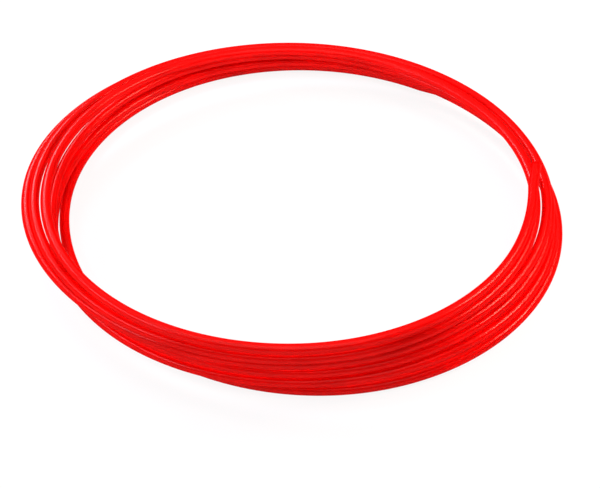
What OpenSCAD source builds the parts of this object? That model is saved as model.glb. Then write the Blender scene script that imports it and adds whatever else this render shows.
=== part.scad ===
// Coiled air hose: one length of smooth, round, soft plastic tube, laid down in six loose turns.
// Millimetres. +Z is up, and the origin lies on the floor under the middle of the pile.
// The wound tube is a chain of six-sided rings with its bore left open all the way through.
// Its two cut ends are true round tube, which push-in fittings grip and seal on.
// The turns run down from the upper end, clockwise as seen from above, starting on the right.

/* [Tube] */
// Outside diameter of the tube
tube_od = 10; // [8:0.5:12]
// Inside diameter of the tube
tube_bore = 6.5; // [5:0.5:6.5]
// Length of each straight cut end
end_l = 25; // [20:1:40]

/* [Coil] */
// Mean diameter of the bottom turn
coil_d = 500; // [400:10:600]
// Free height left between each turn and the turn under it
lay_gap = 2.5; // [2:0.5:4]
// Free height under the lower cut end, which lifts off the floor
tail_clear = 0.5; // [0.2:0.1:2]

/* [Hidden] */

tube_red = [0.85, 0.07, 0.05];

// How each turn lies, from the top turn down to the bottom one, in tube diameters:
// [shift right, shift back, radius beyond the bottom turn's, tilt up to the right,
//  tilt up to the back, oval along the axes, oval along the diagonals, saddle]
turns = [
    [-1.9, -3.6, -1.3, -0.9, -1.1, -0.3, 0.3, -0.1],
    [-2.0, -2.2, -0.2, -0.9, -0.8, -0.1, 0.3, 0],
    [-1.8, -0.7, 0.9, -0.6, -1.0, 0.1, 0.3, 0.1],
    [-1.0, -1.2, -0.4, -0.2, 0, 0, -0.3, -0.3],
    [-0.4, -1.1, 0, -0.1, 0, 0.2, -0.1, -0.4],
    [0, 0, 0, 0, 0, -0.2, -0.6, 0]
];

// Rings along one turn, and sides of a ring
rings = 24;
sides = 6;
// Share of a turn over which the tube climbs from one layer to the next
climb_share = 0.5;
// Shift of the upper end outwards over the turn under it, in tube diameters, and its run in turns
head_lean = 0.3;
head_run = 0.06;
// Turns left off at the lower end, and the length over which that end lifts, in turns
tail_cut = 4 / rings;
tail_rise = 0.4;
// Points per ring at which the gap between turns is measured
gap_steps = 8;
// Overshoot of a cutting shape
cut = 1;

tube_r = tube_od / 2;
// The bottom turn is flattened where it rests
flat_depth = tube_od / 10;
bed_z = tube_r - flat_depth;
turn_rise = tube_od + lay_gap;
last_turn = len(turns) - 1;
tube_turns = len(turns) - tail_cut;
tail_lift = flat_depth + tail_clear;

// Smooth step from 0 to 1
function ease(x) = let(c = min(max(x, 0), 1)) c * c * (3 - 2 * c);

// The lay at t turns from the upper end, blended between the turns on either side of it
function lay(t) =
    let(
        x = min(max(t - 0.5, 0), last_turn),
        i = min(floor(x), last_turn - 1),
        f = ease(x - i)
    )
    tube_od * (turns[i] * (1 - f) + turns[i + 1] * f);

// Number of layers passed at t turns: each climb is centred on the right side of the pile
function layers(t) =
    let(
        x = t - 0.5,
        i = floor(x)
    )
    i + ease((x - i - 0.5) / climb_share + 0.5);

function head(t) = head_lean * tube_od * pow(max(1 - t / head_run, 0), 2);

function tail(t) = tail_lift * ease((t - tube_turns + tail_rise) / tail_rise);

// Centre line of the tube at t turns, about the middle of the bottom turn
function centre_line(t) =
    let(
        q = lay(t),
        a = -360 * t,
        r = coil_d / 2 + q[2] + q[5] * cos(2 * a) + q[6] * sin(2 * a) + head(t),
        layer_z = bed_z + turn_rise * max(0, last_turn - layers(t)),
        lean = q[3] * cos(a) + q[4] * sin(a) + q[7] * (cos(2 * a) + sin(2 * a))
    )
    [q[0] + r * cos(a), q[1] + r * sin(a), layer_z + lean + tail(t)];

// Step from one point to another, level and one unit long
function level_step(from, to) = let(d = [to.x - from.x, to.y - from.y, 0]) d / norm(d);

wound = [for (i = [0 : round(tube_turns * rings)]) centre_line(i / rings)];
xs = [for (p = wound) p.x];
ys = [for (p = wound) p.y];
pile_centre = [(min(xs) + max(xs)) / 2, (min(ys) + max(ys)) / 2, 0];

upper_dir = level_step(wound[1], wound[0]);
lower_dir = level_step(wound[len(wound) - 2], wound[len(wound) - 1]);
// The wound tube leaves each end straight for one diameter, where the cut end takes over
upper_face = wound[0] + tube_od * upper_dir - pile_centre;
lower_face = wound[len(wound) - 1] + tube_od * lower_dir - pile_centre;
path = concat([upper_face], [for (p = wound) p - pile_centre], [lower_face]);

// Direction of the path at point i: along the straight at both ends, and averaged between
function path_dir(i) =
    let(
        a = path[max(i - 1, 0)],
        b = path[min(i + 1, len(path) - 1)]
    )
    (b - a) / norm(b - a);

// One ring of points round path point i, with a corner at its lowest point
function ring(i, r) =
    let(
        d = path_dir(i),
        side = cross(d, [0, 0, 1]) / norm(cross(d, [0, 0, 1])),
        up = cross(side, d)
    )
    [for (k = [0 : sides - 1]) path[i] + r * (sin(360 * k / sides) * side - cos(360 * k / sides) * up)];

// Two triangles for each side between rings a and b, whose points start at those numbers
function band(a, b) = [
    for (k = [0 : sides - 1], half = [0, 1])
        let(m = (k + 1) % sides)
            half == 0 ? [a + k, b + k, b + m] : [a + k, b + m, a + m]
];

// An open-bored tube along the whole path, as one closed surface
module path_tube() {
    count = len(path);
    outer = [for (i = [0 : count - 1]) each ring(i, tube_od / 2)];
    inner = [for (i = [0 : count - 1]) each ring(i, tube_bore / 2)];
    inside = len(outer);
    last = (count - 1) * sides;
    outer_skin = [for (i = [0 : count - 2]) each band(i * sides, (i + 1) * sides)];
    inner_skin = [for (i = [0 : count - 2]) each band(inside + (i + 1) * sides, inside + i * sides)];
    faces = concat(outer_skin, inner_skin, band(inside, 0), band(last, inside + last));
    polyhedron(points = concat(outer, inner), faces = faces, convexity = 10);
}

module coil() {
    floor_w = 2 * coil_d;
    color(tube_red)
        difference() {
            path_tube();
            translate([-floor_w / 2, -floor_w / 2, -tube_od])
                cube([floor_w, floor_w, tube_od]);
        }
}

// A straight, square-cut end of round tube, from a face of the wound tube outwards
module cut_end(face, dir) {
    color(tube_red)
        translate(face)
            rotate([0, 90, atan2(dir.y, dir.x)])
                difference() {
                    cylinder(h = end_l, d = tube_od, $fn = 48);
                    translate([0, 0, -cut])
                        cylinder(h = end_l + 2 * cut, d = tube_bore, $fn = 48);
                }
}

module upper_end() {
    cut_end(upper_face, upper_dir);
}

module lower_end() {
    cut_end(lower_face, lower_dir);
}

// The tube's least gap to itself, measured between points at least half a turn apart
upper_tip = upper_face + end_l * upper_dir;
lower_tip = lower_face + end_l * lower_dir;
stops = concat([upper_tip], path, [lower_tip]);
trace = [
    for (i = [0 : len(stops) - 2], k = [0 : gap_steps - 1])
        stops[i] + (stops[i + 1] - stops[i]) * k / gap_steps
];
half_turn = rings * gap_steps / 2;
spacings = [
    for (i = [0 : len(trace) - 1 - half_turn])
        min([for (j = [i + half_turn : len(trace) - 1]) norm(trace[i] - trace[j])])
];
lengths = [for (i = [0 : len(stops) - 2]) norm(stops[i + 1] - stops[i])];
echo(least_gap = min(spacings) - tube_od);
echo(tube_length = lengths * [for (l = lengths) 1]);
echo(upper_tip = upper_tip, upper_dir = upper_dir, lower_tip = lower_tip, lower_dir = lower_dir);

coil();
upper_end();
lower_end();
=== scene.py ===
# Coiled air hose: one length of smooth red polyurethane tube in six loose turns on a pale floor.
# Metres, +Z up, +X to the camera's right. The CAD's faceted tube is replaced by a smooth one.

import math

import bpy
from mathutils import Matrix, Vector


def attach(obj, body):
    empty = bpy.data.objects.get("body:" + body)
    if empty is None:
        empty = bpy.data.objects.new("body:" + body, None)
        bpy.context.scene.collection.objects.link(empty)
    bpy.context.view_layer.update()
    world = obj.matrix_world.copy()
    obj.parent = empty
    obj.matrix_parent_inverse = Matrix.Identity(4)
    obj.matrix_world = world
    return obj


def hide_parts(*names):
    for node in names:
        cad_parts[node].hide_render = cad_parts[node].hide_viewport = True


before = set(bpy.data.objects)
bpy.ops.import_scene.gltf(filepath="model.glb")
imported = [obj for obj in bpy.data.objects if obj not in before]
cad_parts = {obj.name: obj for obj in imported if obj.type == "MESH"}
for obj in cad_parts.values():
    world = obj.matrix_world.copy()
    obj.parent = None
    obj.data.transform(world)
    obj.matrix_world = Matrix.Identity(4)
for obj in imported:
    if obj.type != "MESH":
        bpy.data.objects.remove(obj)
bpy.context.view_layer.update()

MM = 0.001


# ---------------------------------------------------------------- small helpers

def linear(hex_code):
    """An sRGB hex colour as Blender's linear colour."""
    channels = [int(hex_code[i:i + 2], 16) / 255 for i in (1, 3, 5)]
    return (*[c / 12.92 if c <= 0.04045 else ((c + 0.055) / 1.055) ** 2.4 for c in channels], 1.0)


def ease(x):
    """Smooth step from 0 to 1."""
    c = min(max(x, 0.0), 1.0)
    return c * c * (3 - 2 * c)


def add_node(tree, kind, settings=None, **inputs):
    """Add a shader node with its settings and inputs.

    An input is named with _ for each space, or at_ and its number, and is a value or a socket.
    """
    node = tree.nodes.new(kind)
    for key, value in (settings or {}).items():
        setattr(node, key, value)
    for key, value in inputs.items():
        name = int(key[3:]) if key.startswith("at_") else key.replace("_", " ")
        if isinstance(value, bpy.types.NodeSocket):
            tree.links.new(value, node.inputs[name])
        else:
            node.inputs[name].default_value = value
    return node


def new_material(name):
    """An empty material and its node tree."""
    material = bpy.data.materials.new(name)
    material.use_nodes = True
    material.node_tree.nodes.clear()
    return material, material.node_tree


def add_object(name, data):
    """An object in the scene that shows the given mesh, camera or light."""
    added = bpy.data.objects.new(name, data)
    bpy.context.collection.objects.link(added)
    return added


# ---------------------------------------------------------------- the tube's sizes and its lay

TUBE_OD = 10 * MM
TUBE_BORE = 6.5 * MM
END_LENGTH = 25 * MM
COIL_DIAMETER = 500 * MM
# Free height between each turn and the turn under it, and under the lower cut end
LAY_GAP = 2.5 * MM
TAIL_CLEAR = 0.5 * MM

# How each turn lies, from the top turn down to the bottom one, in tube diameters:
# (shift right, shift back, radius beyond the bottom turn's, tilt up to the right,
#  tilt up to the back, oval along the axes, oval along the diagonals, saddle)
TURNS = [
    (-1.9, -3.6, -1.3, -0.9, -1.1, -0.3, 0.3, -0.1),
    (-2.0, -2.2, -0.2, -0.9, -0.8, -0.1, 0.3, 0),
    (-1.8, -0.7, 0.9, -0.6, -1.0, 0.1, 0.3, 0.1),
    (-1.0, -1.2, -0.4, -0.2, 0, 0, -0.3, -0.3),
    (-0.4, -1.1, 0, -0.1, 0, 0.2, -0.1, -0.4),
    (0, 0, 0, 0, 0, -0.2, -0.6, 0),
]
# Rings along one turn of the CAD's tube
CAD_RINGS = 24
# Share of a turn over which the tube climbs from one layer to the next
CLIMB_SHARE = 0.5
# Shift of the upper end outwards, in tube diameters, and its run in turns
HEAD_LEAN = 0.3
HEAD_RUN = 0.06
# Turns left off at the lower end, and the length over which that end lifts, in turns
TAIL_CUT = 4 / CAD_RINGS
TAIL_RISE = 0.4
# The bottom turn is flattened where it rests
FLAT_DEPTH = TUBE_OD / 10
BED_Z = TUBE_OD / 2 - FLAT_DEPTH
TURN_RISE = TUBE_OD + LAY_GAP
LAST_TURN = len(TURNS) - 1
TUBE_TURNS = len(TURNS) - TAIL_CUT
TAIL_LIFT = FLAT_DEPTH + TAIL_CLEAR


def lay(t):
    """The lay at t turns from the upper end, blended between the turns on either side of it."""
    x = min(max(t - 0.5, 0), LAST_TURN)
    i = min(math.floor(x), LAST_TURN - 1)
    f = ease(x - i)
    return [TUBE_OD * (a * (1 - f) + b * f) for a, b in zip(TURNS[i], TURNS[i + 1])]


def layers(t):
    """Layers passed at t turns: each climb is centred on the right side of the pile."""
    x = t - 0.5
    i = math.floor(x)
    return i + ease((x - i - 0.5) / CLIMB_SHARE + 0.5)


def centre_line(t):
    """Centre line of the tube at t turns, about the middle of the bottom turn."""
    right, back, wider, tilt_right, tilt_back, oval, skew, saddle = lay(t)
    a = -2 * math.pi * t
    head = HEAD_LEAN * TUBE_OD * max(1 - t / HEAD_RUN, 0) ** 2
    r = COIL_DIAMETER / 2 + wider + oval * math.cos(2 * a) + skew * math.sin(2 * a) + head
    layer_z = BED_Z + TURN_RISE * max(0, LAST_TURN - layers(t))
    tilt = tilt_right * math.cos(a) + tilt_back * math.sin(a)
    lean = tilt + saddle * (math.cos(2 * a) + math.sin(2 * a))
    tail = TAIL_LIFT * ease((t - TUBE_TURNS + TAIL_RISE) / TAIL_RISE)
    return Vector((right + r * math.cos(a), back + r * math.sin(a), layer_z + lean + tail))


def level_step(start, end):
    """Step from one point to another, level and one unit long."""
    return Vector((end.x - start.x, end.y - start.y, 0)).normalized()


# The CAD's own ring centres give the middle of the pile and the directions of the cut ends
wound = [centre_line(i / CAD_RINGS) for i in range(round(TUBE_TURNS * CAD_RINGS) + 1)]
PILE_CENTRE = Vector((
    (min(p.x for p in wound) + max(p.x for p in wound)) / 2,
    (min(p.y for p in wound) + max(p.y for p in wound)) / 2,
    0,
))
UPPER_DIR = level_step(wound[1], wound[0])
LOWER_DIR = level_step(wound[-2], wound[-1])
# The wound tube leaves each end straight for one diameter, where the cut end takes over
STRAIGHT = TUBE_OD + END_LENGTH

# ---------------------------------------------------------------- camera

CAMERA_DISTANCE = 1.64
CAMERA_ELEVATION = math.radians(39.8)
# Beyond this distance nothing is drawn
CAMERA_REACH = 20
SENSOR_MM = 36
IMAGE_WIDTH = 600
IMAGE_HEIGHT = 488
# Pixels that one tube diameter takes at the camera's distance, which sets the lens
TUBE_PIXELS = 9.86
# Where the middle of the bottom turn falls in the image
TARGET_PIXEL = (309.4, 208.6)


def make_camera():
    """The camera, in front of the pile and tipped down towards its middle."""
    target = Vector((0, 0, TUBE_OD / 2)) - PILE_CENTRE
    away = Vector((0, -math.cos(CAMERA_ELEVATION), math.sin(CAMERA_ELEVATION)))
    data = bpy.data.cameras.new("camera")
    data.sensor_width = SENSOR_MM
    data.lens = TUBE_PIXELS * CAMERA_DISTANCE / TUBE_OD * SENSOR_MM / IMAGE_WIDTH
    data.shift_x = (IMAGE_WIDTH / 2 - TARGET_PIXEL[0]) / IMAGE_WIDTH
    data.shift_y = (TARGET_PIXEL[1] - IMAGE_HEIGHT / 2) / IMAGE_WIDTH
    data.clip_end = CAMERA_REACH
    camera = add_object("camera", data)
    camera.location = target + CAMERA_DISTANCE * away
    camera.rotation_euler = (math.pi / 2 - CAMERA_ELEVATION, 0, 0)
    bpy.context.scene.camera = camera


make_camera()

# ---------------------------------------------------------------- materials

TUBE_RED = "#F40502"
DEEP_RED = "#DC0401"
SCUFF_RED = "#F8443A"
CUT_RED = "#E81A12"
# What the dyed skin lets through straight on; less comes back at a shallow angle
SKIN_RED = "#F99591"
POLYURETHANE_IOR = 1.5

# Die lines are about 0.2 mm apart on a real tube, drawn 0.9 mm apart so that they show
DIE_LINE_PITCH = 0.9 * MM
DIE_LINE_DEPTH = 0.003 * MM
# Slow ripple that the haul-off leaves in the wall
RIPPLE_PITCH = 14 * MM
RIPPLE_DEPTH = 0.012 * MM
# Patches of slightly deeper colour, patches that were handled, and the scuffs in those
PIGMENT_PATCH = 70 * MM
HANDLED_PATCH = 45 * MM
SCUFF_WIDTH = 1.1 * MM
# Lines that the blade drags over a cut face
DRAG_PITCH = 0.4 * MM
DRAG_DEPTH = 0.03 * MM

# Die lines run 50 times as far along the tube (Z) as round it, scuffs about 3 times as far,
# and drag lines 10 times as far across the cut (X)
DIE_LINE_RUN = (1.0, 1.0, 0.02)
SCUFF_RUN = (1.0, 1.0, 0.35)
DRAG_RUN = (0.1, 1.0, 1.0)
# Levels of each pattern, out of 1, where its effect begins and where it is full
DIE_LINE_LEVELS = (0.3, 0.7)
PIGMENT_LEVELS = (0.35, 0.65)
HANDLED_LEVELS = (0.56, 0.66)
SCUFF_LEVELS = (0.62, 0.7)

# Roughness of the glossiest and the dullest die line, what a scuff adds, and a sliced face's
DIE_LINE_ROUGHNESS = (0.19, 0.25)
SCUFF_DULLS = 0.3
SLICED_ROUGHNESS = 0.45
# Share of the scuff's paler red that shows
SCUFF_PALES = 0.25

# The wall is slightly translucent: light spreads a few millimetres inside it, red the furthest
LIGHT_SPREAD = 5 * MM
SPREAD_BY_COLOUR = (1.0, 0.1, 0.08)
TRANSLUCENCY = 0.3
# The dyed skin filters light without a gloss of its own, so it hardly bends it
SKIN_IOR = 1.01
SKIN_ROUGHNESS = 0.2


def polyurethane():
    """Extruded ether polyurethane: an even, deep red with a wet gloss.

    The die leaves faint lines along the tube, the haul-off a slow ripple across it,
    and handling leaves a few fine scuffs that dull the gloss.
    """
    material, tree = new_material("extruded_red_polyurethane")
    extruded = add_node(tree, "ShaderNodeAttribute", {"attribute_name": "extruded"}).outputs["Vector"]

    # Die lines along the tube, over the slow ripple
    drawn_out = add_node(tree, "ShaderNodeVectorMath", {"operation": "MULTIPLY"},
                         at_0=extruded, at_1=DIE_LINE_RUN)
    die_lines = add_node(tree, "ShaderNodeTexNoise", Vector=drawn_out.outputs["Vector"],
                         Scale=1 / DIE_LINE_PITCH, Detail=3.0)
    ripple = add_node(tree, "ShaderNodeTexNoise", Vector=extruded, Scale=1 / RIPPLE_PITCH, Detail=1.0)
    waves = add_node(tree, "ShaderNodeBump", Height=ripple.outputs["Fac"], Strength=1.0,
                     Distance=RIPPLE_DEPTH)
    lines = add_node(tree, "ShaderNodeBump", Height=die_lines.outputs["Fac"], Strength=1.0,
                     Distance=DIE_LINE_DEPTH, Normal=waves.outputs["Normal"])

    # Scuffs a few millimetres long, where a handled patch meets a scratch
    handled = add_node(tree, "ShaderNodeTexNoise", Vector=extruded, Scale=1 / HANDLED_PATCH, Detail=1.0)
    worn = add_node(tree, "ShaderNodeMapRange", Value=handled.outputs["Fac"],
                    From_Min=HANDLED_LEVELS[0], From_Max=HANDLED_LEVELS[1])
    lengthwise = add_node(tree, "ShaderNodeVectorMath", {"operation": "MULTIPLY"},
                          at_0=extruded, at_1=SCUFF_RUN)
    scratches = add_node(tree, "ShaderNodeTexNoise", Vector=lengthwise.outputs["Vector"],
                         Scale=1 / SCUFF_WIDTH, Detail=2.0)
    scratched = add_node(tree, "ShaderNodeMapRange", Value=scratches.outputs["Fac"],
                         From_Min=SCUFF_LEVELS[0], From_Max=SCUFF_LEVELS[1])
    scuff = add_node(tree, "ShaderNodeMath", {"operation": "MULTIPLY"},
                     at_0=worn.outputs["Result"], at_1=scratched.outputs["Result"])

    # Colour: dyed right through, a little deeper in patches and paler on a scuff
    pigment = add_node(tree, "ShaderNodeTexNoise", Vector=extruded, Scale=1 / PIGMENT_PATCH, Detail=1.0)
    tone = add_node(tree, "ShaderNodeMapRange", Value=pigment.outputs["Fac"],
                    From_Min=PIGMENT_LEVELS[0], From_Max=PIGMENT_LEVELS[1])
    body = add_node(tree, "ShaderNodeMix", {"data_type": "RGBA"}, at_0=tone.outputs["Result"],
                    at_6=linear(DEEP_RED), at_7=linear(TUBE_RED))
    paleness = add_node(tree, "ShaderNodeMath", {"operation": "MULTIPLY"},
                        at_0=scuff.outputs[0], at_1=SCUFF_PALES)
    colour = add_node(tree, "ShaderNodeMix", {"data_type": "RGBA"}, at_0=paleness.outputs[0],
                      at_6=body.outputs[2], at_7=linear(SCUFF_RED))

    # Gloss: it varies from line to line, and a scuff takes it off
    sheen = add_node(tree, "ShaderNodeMapRange", Value=die_lines.outputs["Fac"],
                     From_Min=DIE_LINE_LEVELS[0], From_Max=DIE_LINE_LEVELS[1],
                     To_Min=DIE_LINE_ROUGHNESS[0], To_Max=DIE_LINE_ROUGHNESS[1])
    roughness = add_node(tree, "ShaderNodeMath", {"operation": "MULTIPLY_ADD"},
                         at_0=scuff.outputs[0], at_1=SCUFF_DULLS, at_2=sheen.outputs["Result"])

    shader = add_node(
        tree, "ShaderNodeBsdfPrincipled", {"subsurface_method": "BURLEY"},
        Base_Color=colour.outputs[2], Roughness=roughness.outputs[0], IOR=POLYURETHANE_IOR,
        Normal=lines.outputs["Normal"], Coat_Weight=1.0, Coat_Roughness=SKIN_ROUGHNESS,
        Coat_IOR=SKIN_IOR, Coat_Tint=linear(SKIN_RED), Subsurface_Weight=TRANSLUCENCY,
        Subsurface_Radius=SPREAD_BY_COLOUR, Subsurface_Scale=LIGHT_SPREAD,
    )
    add_node(tree, "ShaderNodeOutputMaterial", Surface=shader.outputs["BSDF"])
    return material


def cut_polyurethane():
    """A face sliced by a tube cutter: matt and a little paler, with fine drag lines."""
    material, tree = new_material("sliced_red_polyurethane")
    extruded = add_node(tree, "ShaderNodeAttribute", {"attribute_name": "extruded"}).outputs["Vector"]
    across = add_node(tree, "ShaderNodeVectorMath", {"operation": "MULTIPLY"},
                      at_0=extruded, at_1=DRAG_RUN)
    drag = add_node(tree, "ShaderNodeTexNoise", Vector=across.outputs["Vector"], Scale=1 / DRAG_PITCH,
                    Detail=2.0)
    grooves = add_node(tree, "ShaderNodeBump", Height=drag.outputs["Fac"], Strength=1.0,
                       Distance=DRAG_DEPTH)
    colour = add_node(tree, "ShaderNodeMix", {"data_type": "RGBA"}, at_0=drag.outputs["Fac"],
                      at_6=linear(DEEP_RED), at_7=linear(CUT_RED))
    shader = add_node(tree, "ShaderNodeBsdfPrincipled", Base_Color=colour.outputs[2],
                      Roughness=SLICED_ROUGHNESS, IOR=POLYURETHANE_IOR,
                      Normal=grooves.outputs["Normal"])
    add_node(tree, "ShaderNodeOutputMaterial", Surface=shader.outputs["BSDF"])
    return material


# ---------------------------------------------------------------- the tube

# Rings along one turn and along each straight end, and points round a ring
RINGS_PER_TURN = 240
END_STEPS = 7
SIDES = 32
# Depth of the small round-over that a tube cutter leaves at a cut edge
CUT_ROUND = 0.25 * MM


def tube_path():
    """Points along the tube's centre line, with both straight cut ends."""
    steps = round(TUBE_TURNS * RINGS_PER_TURN)
    points = [centre_line(i / RINGS_PER_TURN) - PILE_CENTRE for i in range(steps + 1)]
    before = [points[0] + UPPER_DIR * STRAIGHT * k / END_STEPS for k in range(END_STEPS, 0, -1)]
    after = [points[-1] + LOWER_DIR * STRAIGHT * k / END_STEPS for k in range(1, END_STEPS + 1)]
    return before + points + after


def ring(centre, along, radius):
    """A ring of points square to the tube, flattened where it would pass through the floor."""
    side = along.cross(Vector((0, 0, 1))).normalized()
    up = side.cross(along)
    points = []
    for k in range(SIDES):
        a = 2 * math.pi * k / SIDES
        p = centre + radius * (math.sin(a) * side - math.cos(a) * up)
        points.append((p.x, p.y, max(p.z, 0)))
    return points


def straightened(metres, radius):
    """The same ring on the tube as it was extruded: straight, with its length along Z."""
    turn = 2 * math.pi / SIDES
    return [(radius * math.sin(turn * k), radius * math.cos(turn * k), metres) for k in range(SIDES)]


def band(a, b):
    """Four-sided faces between ring number a and ring number b."""
    a, b = a * SIDES, b * SIDES
    return [(a + k, b + k, b + (k + 1) % SIDES, a + (k + 1) % SIDES) for k in range(SIDES)]


def make_tube(path):
    """The whole tube as one closed skin: outside, cut faces and bore."""
    last = len(path) - 1
    along = [(path[min(i + 1, last)] - path[max(i - 1, 0)]).normalized() for i in range(last + 1)]
    metres = [0.0]
    for a, b in zip(path, path[1:]):
        metres.append(metres[-1] + (b - a).length)
    outer, bore = TUBE_OD / 2, TUBE_BORE / 2
    start, finish = along[0] * CUT_ROUND, along[last] * CUT_ROUND
    # Each station of the skin: centre, direction, radius, metres along the tube
    outside = [
        (path[0], along[0], outer - CUT_ROUND, metres[0]),
        (path[0] + start, along[0], outer, metres[0]),
        *[(path[i], along[i], outer, metres[i]) for i in range(1, last)],
        (path[last] - finish, along[last], outer, metres[last]),
        (path[last], along[last], outer - CUT_ROUND, metres[last]),
    ]
    inside = [(path[i], along[i], bore, metres[i]) for i in range(last, -1, -1)]
    stations = outside + inside
    verts, flat, faces = [], [], []
    for i, (centre, direction, radius, distance) in enumerate(stations):
        verts += ring(centre, direction, radius)
        flat += straightened(distance, radius)
        faces += band(i, (i + 1) % len(stations))
    mesh = bpy.data.meshes.new("air_tube")
    mesh.from_pydata(verts, [], faces)
    mesh.shade_smooth()
    extruded = mesh.attributes.new("extruded", "FLOAT_VECTOR", "POINT")
    extruded.data.foreach_set("vector", [value for point in flat for value in point])
    mesh.materials.append(polyurethane())
    mesh.materials.append(cut_polyurethane())
    # The cut faces join outside and bore at the lower end, and again at the upper one
    for first in ((len(outside) - 1) * SIDES, len(faces) - SIDES):
        for face in mesh.polygons[first:first + SIDES]:
            face.material_index = 1
            face.use_smooth = False
    return add_object("air_tube", mesh)


path = tube_path()
tube = make_tube(path)
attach(tube, "root")
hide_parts("coil", "upper_end", "lower_end")

# ---------------------------------------------------------------- floor

FLOOR_HALF = 6.0
# The floor lies a hair under the tube, so that the two never share a surface
FLOOR_DROP = 0.2 * MM
CARD_WHITE = "#F0F0F0"
# Share of the floor's white that the camera sees whatever falls on it
FLOOR_GLOW = 0.88


def rays_that_see(tree):
    """1 for rays that show the background: from the camera, and through gloss or glass."""
    path_kind = add_node(tree, "ShaderNodeLightPath")
    shown = path_kind.outputs["Is Camera Ray"]
    for name in ("Is Glossy Ray", "Is Transmission Ray"):
        shown = add_node(tree, "ShaderNodeMath", {"operation": "MAXIMUM"}, at_0=shown,
                         at_1=path_kind.outputs[name]).outputs[0]
    return shown


def white_card():
    """White card: matt, and lit up from below like a light table, so the shadow on it stays pale."""
    material, tree = new_material("white_card")
    card = add_node(tree, "ShaderNodeBsdfDiffuse", Color=linear(CARD_WHITE))
    glow = add_node(tree, "ShaderNodeEmission", Color=linear("#FFFFFF"), Strength=1.0)
    share = add_node(tree, "ShaderNodeMath", {"operation": "MULTIPLY"}, at_0=rays_that_see(tree),
                     at_1=FLOOR_GLOW)
    mixed = add_node(tree, "ShaderNodeMixShader", Fac=share.outputs[0], at_1=card.outputs[0],
                     at_2=glow.outputs[0])
    add_node(tree, "ShaderNodeOutputMaterial", Surface=mixed.outputs[0])
    return material


def make_floor():
    """One wide sheet of card, square under the pile."""
    corners = [(x * FLOOR_HALF, y * FLOOR_HALF, 0) for x, y in ((-1, -1), (1, -1), (1, 1), (-1, 1))]
    mesh = bpy.data.meshes.new("floor")
    mesh.from_pydata(corners, [], [(0, 1, 2, 3)])
    mesh.materials.append(white_card())
    floor = add_object("floor", mesh)
    floor.location.z = -FLOOR_DROP


make_floor()

# ---------------------------------------------------------------- light

# Points that the lamps face: the middle of the pile, and its right-hand side
PILE_MIDDLE = (0.0, 0.0, 0.04)
RIGHT_SIDE = (0.15, 0.0, 0.04)
COOL_WHITE = "#E8E8FF"
WARM_WHITE = "#FFEEDC"
WORLD_STRENGTH = 0.18
# Azimuth and watts of the lamps in each row
LEFT_STRIPS = ((120, 20), (142, 8), (165, 5), (190, 5), (213, 5))
RIGHT_STRIPS = ((0, 5.2), (28, 2.4))


def softbox(name, azimuth, elevation, distance, size, watts, aim=PILE_MIDDLE, white="#FFFFFF"):
    """A soft rectangular lamp round the point it aims at. Azimuth runs anticlockwise from +X."""
    a, e = math.radians(azimuth), math.radians(elevation)
    away = Vector((math.cos(a) * math.cos(e), math.sin(a) * math.cos(e), math.sin(e)))
    data = bpy.data.lights.new(name, "AREA")
    data.shape = "RECTANGLE"
    data.size, data.size_y = size
    data.energy = watts
    data.color = linear(white)[:3]
    lamp = add_object(name, data)
    lamp.location = Vector(aim) + away * distance
    lamp.rotation_euler = (-away).to_track_quat("-Z", "Y").to_euler()


def make_lights():
    """A soft key from above and behind, a fill in front, and a row of strips on each side."""
    softbox("overhead_key", 90, 65, 2.0, (3.2, 3.2), 17)
    softbox("front_fill", 262, 66, 2.2, (3.0, 2.0), 28)
    # Low strips on both sides draw the thin highlights along the tube: cool left, warm right
    for azimuth, watts in LEFT_STRIPS:
        softbox(f"left_strip_{azimuth}", azimuth, 26, 1.6, (0.5, 0.3), watts, white=COOL_WHITE)
    for azimuth, watts in RIGHT_STRIPS:
        softbox(f"right_strip_{azimuth}", azimuth, 38, 0.8, (0.3, 0.18), watts, RIGHT_SIDE, WARM_WHITE)


def make_world():
    """An even, dim white all round."""
    world = bpy.data.worlds.new("studio")
    world.use_nodes = True
    background = world.node_tree.nodes["Background"]
    background.inputs["Color"].default_value = linear("#FFFFFF")
    background.inputs["Strength"].default_value = WORLD_STRENGTH
    bpy.context.scene.world = world


make_lights()
make_world()
bpy.context.scene.view_settings.view_transform = "Standard"
